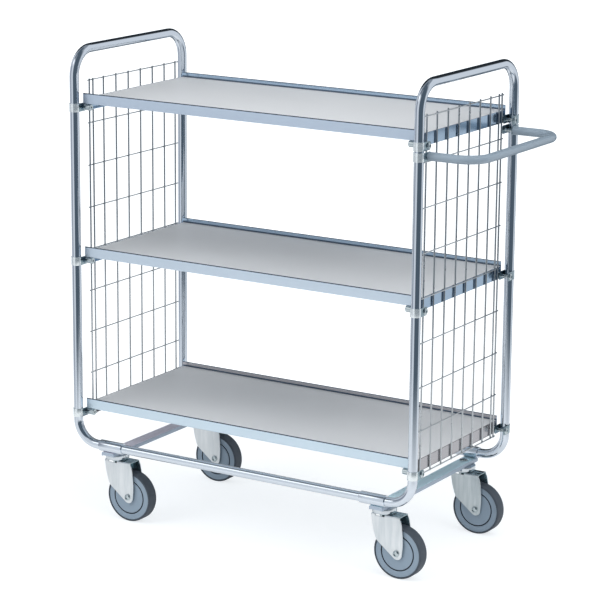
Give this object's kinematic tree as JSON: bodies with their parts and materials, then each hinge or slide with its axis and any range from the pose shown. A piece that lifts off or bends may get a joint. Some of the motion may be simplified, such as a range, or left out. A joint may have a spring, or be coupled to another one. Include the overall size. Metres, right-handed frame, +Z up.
{
  "type": "shelf trolley",
  "caption": "Tube-framed trolley with flat shelves, wire mesh ends, a push handle at one end and swivel casters with solid wheels.",
  "frame": {"origin": "on the floor, in the middle of the whole footprint", "axes": "+Z up, X along the trolley's length with the push handle at +X, Y across its width with the front at -Y"},
  "size_m": [1.1066, 0.4826, 1.1706],
  "materials": {
    "chrome_plate": "polished chrome plate on steel tube",
    "zinc_plate": "bright zinc plate, slightly blue, on folded sheet",
    "fork_zinc": "light zinc plate on pressed sheet",
    "wire_zinc": "zinc plated wire",
    "bolt_zinc": "zinc plated steel",
    "grey_laminate": "pale warm grey laminate on board",
    "handle_coat": "smooth blue-grey powder coat on steel tube",
    "tread_rubber": "dark grey rubber",
    "wheel_plastic": "mid grey moulded plastic"
  },
  "bodies": {
    "trolley_frame": {"end_hoop_left": "chrome_plate", "cross_member_left": "zinc_plate", "mesh_panel_left": "wire_zinc", "end_hoop_right": "chrome_plate", "cross_member_right": "zinc_plate", "mesh_panel_right": "wire_zinc", "side_rail_front": "chrome_plate", "handle_clamp_front": "bolt_zinc", "handle_plug_front": "bolt_zinc", "side_rail_rear": "chrome_plate", "handle_clamp_rear": "bolt_zinc", "handle_plug_rear": "bolt_zinc", "shelf_frame_bottom": "zinc_plate", "shelf_board_bottom": "grey_laminate", "shelf_frame_middle": "zinc_plate", "shelf_board_middle": "grey_laminate", "shelf_frame_top": "zinc_plate", "shelf_board_top": "grey_laminate", "rail_sleeve_front_left": "chrome_plate", "post_clamp_bottom_front_left": "bolt_zinc", "post_clamp_middle_front_left": "bolt_zinc", "post_clamp_top_front_left": "bolt_zinc", "front_left_swivel_cup": "zinc_plate", "front_left_kingpin": "bolt_zinc", "rail_sleeve_front_right": "chrome_plate", "post_clamp_bottom_front_right": "bolt_zinc", "post_clamp_middle_front_right": "bolt_zinc", "post_clamp_top_front_right": "bolt_zinc", "front_right_swivel_cup": "zinc_plate", "front_right_kingpin": "bolt_zinc", "rail_sleeve_rear_left": "chrome_plate", "post_clamp_bottom_rear_left": "bolt_zinc", "post_clamp_middle_rear_left": "bolt_zinc", "post_clamp_top_rear_left": "bolt_zinc", "rear_left_swivel_cup": "zinc_plate", "rear_left_kingpin": "bolt_zinc", "rail_sleeve_rear_right": "chrome_plate", "post_clamp_bottom_rear_right": "bolt_zinc", "post_clamp_middle_rear_right": "bolt_zinc", "post_clamp_top_rear_right": "bolt_zinc", "rear_right_swivel_cup": "zinc_plate", "rear_right_kingpin": "bolt_zinc", "handle": "handle_coat"},
    "front_left_caster": {"front_left_fork": "fork_zinc", "front_left_axle_bolt": "bolt_zinc"},
    "front_left_wheel": {"front_left_wheel_core": "wheel_plastic", "front_left_tyre": "tread_rubber"},
    "front_right_caster": {"front_right_fork": "fork_zinc", "front_right_axle_bolt": "bolt_zinc"},
    "front_right_wheel": {"front_right_wheel_core": "wheel_plastic", "front_right_tyre": "tread_rubber"},
    "rear_left_caster": {"rear_left_fork": "fork_zinc", "rear_left_axle_bolt": "bolt_zinc"},
    "rear_left_wheel": {"rear_left_wheel_core": "wheel_plastic", "rear_left_tyre": "tread_rubber"},
    "rear_right_caster": {"rear_right_fork": "fork_zinc", "rear_right_axle_bolt": "bolt_zinc"},
    "rear_right_wheel": {"rear_right_wheel_core": "wheel_plastic", "rear_right_tyre": "tread_rubber"}
  },
  "joints": [
    {"name": "front_left_swivel", "type": "hinge", "parent": "trolley_frame", "child": "front_left_caster", "pos_m": [-0.44438, -0.1926, 0.151], "axis": [0, 0, 1], "continuous": true},
    {"name": "front_left_wheel_spin", "type": "hinge", "parent": "front_left_caster", "child": "front_left_wheel", "pos_m": [-0.40027, -0.1926, 0.0625], "axis": [0, 1, 0], "continuous": true},
    {"name": "front_right_swivel", "type": "hinge", "parent": "trolley_frame", "child": "front_right_caster", "pos_m": [0.31662, -0.1926, 0.151], "axis": [0, 0, 1], "continuous": true},
    {"name": "front_right_wheel_spin", "type": "hinge", "parent": "front_right_caster", "child": "front_right_wheel", "pos_m": [0.36073, -0.1926, 0.0625], "axis": [0, 1, 0], "continuous": true},
    {"name": "rear_left_swivel", "type": "hinge", "parent": "trolley_frame", "child": "rear_left_caster", "pos_m": [-0.44438, 0.1926, 0.151], "axis": [0, 0, 1], "continuous": true},
    {"name": "rear_left_wheel_spin", "type": "hinge", "parent": "rear_left_caster", "child": "rear_left_wheel", "pos_m": [-0.40027, 0.1926, 0.0625], "axis": [0, 1, 0], "continuous": true},
    {"name": "rear_right_swivel", "type": "hinge", "parent": "trolley_frame", "child": "rear_right_caster", "pos_m": [0.31662, 0.1926, 0.151], "axis": [0, 0, 1], "continuous": true},
    {"name": "rear_right_wheel_spin", "type": "hinge", "parent": "rear_right_caster", "child": "rear_right_wheel", "pos_m": [0.36073, 0.1926, 0.0625], "axis": [0, 1, 0], "continuous": true}
  ]
}
